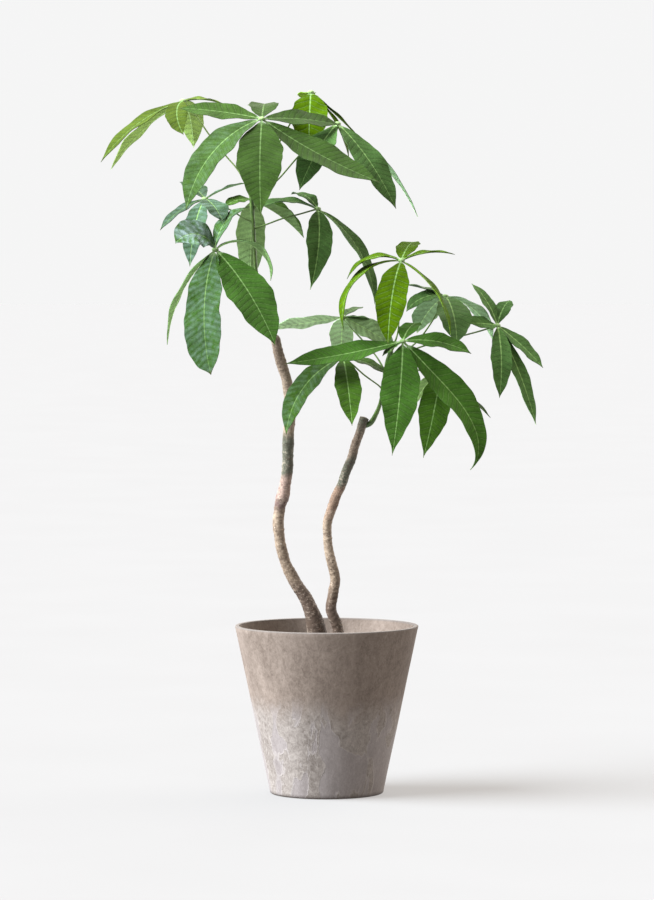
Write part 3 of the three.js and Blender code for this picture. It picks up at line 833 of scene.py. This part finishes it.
def turned(profile):
    """Each (radius, height) row of the profile becomes a ring about the pot's axis."""
    angle = np.linspace(0, 2 * pi, POT_SIDES, endpoint=False)
    radius, height = profile[:, :1], profile[:, 1:]
    return np.stack([radius * np.cos(angle), radius * np.sin(angle), height + 0 * angle], axis=-1)


def ripple(points, count, fineness, seed):
    """Gentle unevenness between about -1 and 1: a sum of plane waves in seeded random directions."""
    random = np.random.default_rng(seed)
    ways = unit(random.normal(size=(count, 3))) * fineness * random.uniform(0.5, 1.6, (count, 1))
    phase = random.uniform(0, 2 * pi, count)
    return np.sin(points @ ways.T + phase).sum(axis=-1) / np.sqrt(count)


def make_pot(stone):
    """Outer wall, rounded rim and inner wall as one turned profile, with a gentle ripple in the walls."""
    top = POT_HEIGHT - POT_RIM_ROUND
    base = outer_radius(POT_BASE_ROUND) - POT_BASE_ROUND
    inside = POT_FLOOR + POT_INSIDE_ROUND
    outer = np.linspace(POT_BASE_ROUND, top, 40)[1:-1]
    inner = np.linspace(top, inside, 30)[1:-1]
    profile = np.concatenate([
        [(base * 0.5, 0)],
        corner(base, POT_BASE_ROUND, POT_BASE_ROUND, -90, 0),
        np.stack([outer_radius(outer), outer], axis=1),
        corner(POT_RIM_RADIUS - POT_RIM_ROUND, top, POT_RIM_ROUND, 0, 90),
        corner(POT_RIM_RADIUS - POT_WALL + POT_RIM_ROUND, top, POT_RIM_ROUND, 90, 180),
        np.stack([inner_radius(inner), inner], axis=1),
        corner(inner_radius(inside) - POT_INSIDE_ROUND, inside, POT_INSIDE_ROUND, 0, -90),
    ])
    points = turned(profile)
    wall = (points[..., 2:] > POT_BASE_ROUND) * (points[..., 2:] < POT_HEIGHT - 0.002)
    outward = points * (1, 1, 0)
    points = points + unit(outward) * wall * POT_WAVE * ripple(points, 12, 45, POT_SEED)[..., None]
    return piece_of("stone_pot", *closed_sleeve(points), "pot", "pot", [stone])


def soil_height(x, y):
    """The crust: a low crown, 1 - (radius / edge)^2, with clods from two sets of waves."""
    edge = POT_HEIGHT - SOIL_BELOW_RIM
    share = np.hypot(x, y) / inner_radius(edge)
    flat = np.stack([x, y, 0 * x], axis=-1)
    clods = sum(height * ripple(flat, 16, fineness, seed) for height, fineness, seed in SOIL_CLODS)
    return edge + SOIL_CROWN * (1 - share**2) + clods


def make_soil(earth):
    """A closed disc with an uneven top, and crumbs scattered on it."""
    edge = POT_HEIGHT - SOIL_BELOW_RIM
    bottom = edge - SOIL_DEPTH
    radii = np.linspace(inner_radius(edge) - SOIL_GAP, 0.0015, 70)
    side = [(inner_radius(bottom) - SOIL_GAP, bottom)]
    profile = np.concatenate([side, np.stack([radii, 0 * radii + edge], axis=1)])
    points = turned(profile)
    top = points[1:]
    points[1:, :, 2] = soil_height(top[..., 0], top[..., 1])
    points, quads, triangles = closed_sleeve(points)
    crumb_points, crumb_quads, crumb_triangles = crumbs(radii[0] - 0.004, len(points))
    return piece_of(
        "potting_soil",
        np.concatenate([points, crumb_points]),
        np.concatenate([quads, crumb_quads]),
        np.concatenate([triangles, crumb_triangles]),
        "soil",
        "soil",
        [earth],
    )


def crumbs(reach, start):
    """Small lumps on the soil: one rough ball with few faces, sized, turned and placed by seeded draws."""
    random = np.random.default_rng(CRUMB_SEED)
    lift = np.radians([-45, 0, 45])
    angle = np.linspace(0, 2 * pi, 6, endpoint=False)
    rings = np.stack([
        np.cos(lift)[:, None] * np.cos(angle), np.cos(lift)[:, None] * np.sin(angle),
        np.sin(lift)[:, None] + 0 * angle,
    ], axis=-1)
    ball, quads, triangles = closed_sleeve(rings)
    rough = ball * random.uniform(0.7, 1.25, (SOIL_CRUMBS, len(ball), 1))
    size = random.uniform(*CRUMB_SIZES, (SOIL_CRUMBS, 1, 1))
    size = size * random.uniform(0.6, 1.3, (SOIL_CRUMBS, 1, 3))
    radius = reach * np.sqrt(random.uniform(0, 1, SOIL_CRUMBS))
    turn = random.uniform(0, 2 * pi, SOIL_CRUMBS)
    x, y = radius * np.cos(turn), radius * np.sin(turn)
    place = np.stack([x, y, soil_height(x, y) + 0.0004], axis=-1)
    points = (rough * size + place[:, None]).reshape(-1, 3)
    shift = (start + len(ball) * np.arange(SOIL_CRUMBS))[:, None, None]
    return points, (quads + shift).reshape(-1, 4), (triangles + shift).reshape(-1, 3)


# ---- Trunks and shoots ----


def rounded_end(even, bend):
    """1 along the tube and, over its last stretch, a quarter circle down to a fifth."""
    left = np.clip((even[-1] - even) / bend, 0, 1)
    return 0.2 + 0.8 * np.sqrt(1 - (1 - left) ** 2)


def bark_relief(even, angle, seed):
    """Height of the bark: lumps from waves in the length and the angle, and a raised, tilted ring for
    each old leaf scar, a bell curve along the trunk."""
    random = np.random.default_rng(seed)
    length = even[:, None]
    height = np.zeros((len(even), len(angle)))
    scars = 0.012 + np.cumsum(random.uniform(*SCAR_STEPS, 40))
    for place in scars[scars < even[-1] - 0.006]:
        tilt = random.uniform(*SCAR_TILTS) * np.cos(angle - random.uniform(0, 2 * pi))
        bell = np.exp(-(((length - place - tilt) / SCAR_SPREAD) ** 2))
        height += random.uniform(*SCAR_HEIGHTS) * bell
    for turns in (1, 2, 3, 5):
        wave = random.uniform(60, 260)
        phase = random.uniform(0, 2 * pi)
        height += BARK_LUMP / turns * np.sin(wave * length + turns * angle + phase)
    return height + 0.00012 * np.sin(900 * length + 3 * np.sin(angle) + 2 * np.sin(2 * angle))


def make_trunk(name):
    """A tube along the trunk's path with bark relief, which fades out at its rounded top."""
    path, even = smooth_path(TRUNKS[name], TRUNK_ROWS)
    angle = np.linspace(0, 2 * pi, TRUNK_SIDES, endpoint=False)
    path[:, 3] *= rounded_end(even, TRUNK_TOPS[name])
    relief = bark_relief(even, angle, TRUNK_SEEDS[name]) * rounded_end(even, 0.004)[:, None]
    points = tube_points(path, TRUNK_SIDES, relief)
    return piece_of(name + "_bark", *closed_sleeve(points), name, "bark", [bark_finish(name, BARKS[name])])


def make_shoot(name, green):
    """A thin tube that swells a little wherever a leaf stalk leaves it."""
    path, even = smooth_path(SHOOTS[name], SHOOT_ROWS)
    roots = np.array([leaf["stalk"][0] for key, leaf in LEAVES.items() if key[5:9] == name[6:10]])
    near = np.linalg.norm(path[:, None, :3] - roots[None], axis=2)
    swell = SHOOT_SWELL * np.exp(-((near / SHOOT_SWELL_REACH) ** 2)).sum(axis=1)
    path[:, 3] = path[:, 3] * rounded_end(even, 0.003) + np.minimum(swell, SHOOT_SWELL_MOST)
    return piece_of(name + "_stem", *closed_sleeve(tube_points(path, SHOOT_SIDES)), name, "shoot", [green])


# ---- Leaves ----


def outline(share, belly, fullness):
    """The sine of the share to the power of the belly, raised to the fullness."""
    inside = np.clip((share - LEAFLET_STEM) / (LEAFLET_DRIP - LEAFLET_STEM), 0, 1)
    return np.sin(pi * inside**belly).clip(0) ** fullness


def half_width(share, width, form):
    """Half the blade's width: its form's outline, which the point closes as a power of what is left,
    and never less than the bare stem, which thins towards the tip."""
    blade = outline(share, *FORMS[form])
    point = outline(LEAFLET_POINT, *FORMS[form]) * ((1 - share) / (1 - LEAFLET_POINT)).clip(0) ** 1.25
    least = STEM_HALF_WIDTH + (POINT_HALF_WIDTH - STEM_HALF_WIDTH) * share
    return np.maximum(width / 2 * np.where(share > LEAFLET_POINT, point, blade), least)


def turned_about(vectors, axis, angle):
    """Vectors at right angles to the axis, turned about it: v cos a + (axis x v) sin a."""
    return vectors * np.cos(angle) + np.cross(axis, vectors) * np.sin(angle)


def leaflet(hub, heading, length, width, rise, droop, twist, extras=None):
    """One blade as a flat sleeve. The midrib is an arc whose slope runs from root to tip. Each half
    rises from it by the fold, with a waved and bumpy edge and pillows between the side veins. The
    upper face runs from one edge to the other and the lower face back, a thickness below."""
    usual = {"sweep": 0, "fold": LEAFLET_FOLD, "form": "oval", "curl": 1}
    sweep, fold, form, curl = (usual | (extras or {})).values()
    share = np.linspace(0, 1, LEAFLET_ROWS)[:, None]
    turn = radians(heading)
    slope = np.radians(rise + (droop - rise) * share**curl)
    run = np.cos(slope)
    along = np.concatenate([run * np.cos(turn), run * np.sin(turn), np.sin(slope)], axis=1)
    level = np.array([-np.sin(turn), np.cos(turn), 0]) + 0 * along
    side = turned_about(level, along, radians(twist))
    up = np.cross(along, side)
    bend = np.radians(sweep * share)
    along, side = turned_about(along, up, bend), turned_about(side, up, bend)
    steps = (along[1:] + along[:-1]) / 2 * length / (LEAFLET_ROWS - 1)
    rib = np.array(hub) + np.concatenate([np.zeros((1, 3)), np.cumsum(steps, axis=0)])

    across = np.concatenate([np.linspace(1, -1, LEAFLET_COLUMNS), np.linspace(-1, 1, LEAFLET_COLUMNS)])
    under = np.repeat([0.0, 1.0], LEAFLET_COLUMNS)
    half = half_width(share, width, form)
    sway = 2 * pi * EDGE_BUMPS * share + 2 * across + turn
    bumps = 1 + EDGE_BUMP * across**2 * (np.sin(sway) + 0.6 * np.sin(2.3 * sway))
    reach = half * across * bumps
    vein = (share * length - VEIN_SLANT * np.abs(reach)) / VEIN_SPACING
    wave = EDGE_WAVE * 2 * half * np.sin(2 * pi * (EDGE_WAVES * share + heading / 360) + across)
    wide = np.sqrt(np.clip(half / PILLOW_HALF_WIDTH, 0, 1))
    pillow = VEIN_PILLOW * np.sin(pi * vein) ** 2 * wide * (1 - across**2)
    lift = np.abs(across) * (half * np.sin(radians(fold)) + wave) + pillow
    ridge = LEAFLET_RIB * (1 - share) * np.exp(-((reach / LEAFLET_RIB_SPREAD) ** 2))
    lift = lift + LEAFLET_THICKNESS * (0.5 - under) - under * ridge
    reach_level = (reach * np.cos(radians(fold)))[..., None]
    points = rib[:, None] + reach_level * side[:, None] + lift[..., None] * up[:, None]
    return points, np.stack([share + 0 * reach, under + 0 * reach, reach, vein], axis=-1)


BLADE_MARKS = ("share", "under", "rib", "vein")
# A leaflet's tone mark carries its painted light, and its sheen mark its painted sheen.
LEAF_MARKS = (*BLADE_MARKS, "tone", "painted_sheen", "hub")


def leaf_stalk(points):
    """A thin tube that thickens towards the shoot and, over a few millimetres, under the hub."""
    sized = [(*point, STALK_ROOT_DIAMETER if k == 0 else STALK_DIAMETER) for k, point in enumerate(points)]
    path, even = smooth_path(sized, STALK_ROWS)
    path[:, 3] *= 1 + 0.35 * np.exp(-(((even[-1] - even) / 0.005) ** 2))
    return tube_points(path, STALK_SIDES)


def leaf_hub(centre):
    """The small cushion where the leaflets meet: a ball flattened to two thirds, with a lobed edge."""
    lift = np.radians(np.linspace(-78, 78, 11))[:, None]
    angle = np.linspace(0, 2 * pi, HUB_SIDES, endpoint=False)
    radius = HUB_RADIUS * (1 + 0.06 * np.cos(5 * angle)) * np.cos(lift)
    height = HUB_RADIUS * HUB_FLATNESS * np.sin(lift) + 0 * angle
    return np.array(centre) + np.stack([radius * np.cos(angle), radius * np.sin(angle), height], axis=-1)


def make_leaf(name, leaf):
    """Stalk, hub and leaflets as one mesh; the stalk and hub have a finish of their own."""
    hub = leaf["stalk"][-1]
    greens = GREENS[leaf["greens"]]
    painted_sheens = leaf.get("painted_sheen", [0] * len(leaf["leaflets"]))
    nowhere = (0, 0, 0, 0)
    sleeves = [(leaf_stalk(leaf["stalk"]), nowhere, (0, 0, 0)), (leaf_hub(hub), nowhere, (0, 0, 1))]
    bare = sum(points.shape[0] * points.shape[1] + 2 for points, _, _ in sleeves)
    # Each leaflet takes its shade, which is painted light, and its painted sheen.
    for values, shade, painted_sheen in zip(leaf["leaflets"], leaf["painted_light_shades"], painted_sheens):
        sleeves.append((*leaflet(hub, *values), (PAINTED_LIGHT_SHADES[shade], painted_sheen, 0)))
    points, quads, triangles, marks = [], [], [], []
    start = 0
    for sleeve, places, traits in sleeves:
        some_points, some_quads, some_triangles = closed_sleeve(sleeve, start)
        flat = np.broadcast_to(places, (*sleeve.shape[:2], len(BLADE_MARKS)))
        ends = np.stack([flat[0].mean(axis=0), flat[-1].mean(axis=0)])
        both = np.concatenate([flat.reshape(-1, len(BLADE_MARKS)), ends])
        marks.append(np.hstack([both, np.tile(traits, (len(both), 1))]))
        points.append(some_points)
        quads.append(some_quads)
        triangles.append(some_triangles)
        start += len(some_points)
    quads, triangles = np.concatenate(quads), np.concatenate(triangles)
    gloss = WAXY_GLOSS if any(painted_sheens) else LEAF_GLOSS
    finish = [blade_finish(name, greens, gloss), stalk_finish(name, greens[0])]
    piece = piece_of(name + "_blades", np.concatenate(points), quads, triangles, name, name, finish)
    marks = np.concatenate(marks)
    for index, label in enumerate(LEAF_MARKS):
        layer = piece.data.attributes.new(label, "FLOAT", "POINT")
        layer.data.foreach_set("value", np.ascontiguousarray(marks[:, index], dtype=np.float32))
    first = np.concatenate([quads[:, 0], triangles[:, 0]])
    piece.data.polygons.foreach_set("material_index", (first < bare).astype(np.int32))
    piece.data.set_sharp_from_angle(angle=radians(60))
    return piece


# ---- Studio ----


def make_floor():
    """A wide level floor, far larger than the view."""
    mesh = bpy.data.meshes.new("floor")
    corners = [(-1, -1), (1, -1), (1, 1), (-1, 1)]
    places = [(x * FLOOR_HALF, y * FLOOR_HALF, -FLOOR_GAP) for x, y in corners]
    mesh.from_pydata(places, [], [(0, 1, 2, 3)])
    mesh.materials.append(floor_finish())
    floor = bpy.data.objects.new("floor", mesh)
    bpy.context.scene.collection.objects.link(floor)


def make_light():
    """A broad lamp from the upper left, which leaves no glare, with soft light from above and behind;
    the camera itself sees a plain pale background."""
    sun = bpy.data.lights.new("sun", "SUN")
    sun.energy = SUN_STRENGTH
    sun.angle = radians(SUN_SPREAD)
    sun.color = SUN_COLOUR
    lamp = bpy.data.objects.new("sun", sun)
    lamp.rotation_mode = "QUATERNION"
    lamp.rotation_quaternion = Vector(SUN_FROM).to_track_quat("Z", "Y")
    lamp.visible_glossy = False
    bpy.context.scene.collection.objects.link(lamp)

    world = bpy.data.worlds.new("studio")
    world.use_nodes = True
    tree = world.node_tree
    tree.nodes.clear()
    direction = Wire(tree, tree.nodes.new("ShaderNodeTexCoord").outputs["Generated"])
    window = direction.along(WINDOW_TOWARDS).rise(0.3, 1.0) * WINDOW_STRENGTH
    above = direction.part(2).rise(0.3, 1.0) * SKY_ABOVE
    warm = {"Color": opaque(SKY_COLOUR), "Strength": window + above + SKY_ROUND}
    white = {"Color": (1, 1, 1, 1), "Strength": BACKGROUND}
    soft = direction.make("ShaderNodeBackground", {}, warm)
    seen = direction.make("ShaderNodeBackground", {}, white)
    camera_ray = direction.make("ShaderNodeLightPath")
    both = direction.make("ShaderNodeMixShader", {}, {0: camera_ray, 1: soft, 2: seen})
    output = tree.nodes.new("ShaderNodeOutputWorld")
    tree.links.new(both.socket, output.inputs["Surface"])
    bpy.context.scene.world = world


def make_camera():
    """The photograph's view: level with the middle of the plant, from far off."""
    data = bpy.data.cameras.new("camera")
    data.lens = CAMERA_LENS
    data.sensor_width = CAMERA_SENSOR
    data.shift_x = CAMERA_SHIFT
    camera = bpy.data.objects.new("camera", data)
    camera.location = CAMERA_PLACE
    camera.rotation_euler = (pi / 2 - CAMERA_PITCH, 0, 0)
    bpy.context.scene.collection.objects.link(camera)
    bpy.context.scene.camera = camera


make_camera()
make_light()
make_floor()
make_pot(stone_finish())
make_soil(soil_finish())
for trunk in TRUNKS:
    make_trunk(trunk)
shoot_green = shoot_finish()
for shoot in SHOOTS:
    make_shoot(shoot, shoot_green)
for leaf_name, leaf_shape in LEAVES.items():
    make_leaf(leaf_name, leaf_shape)

bpy.context.scene.view_settings.view_transform = "Standard"
bpy.context.view_layer.update()
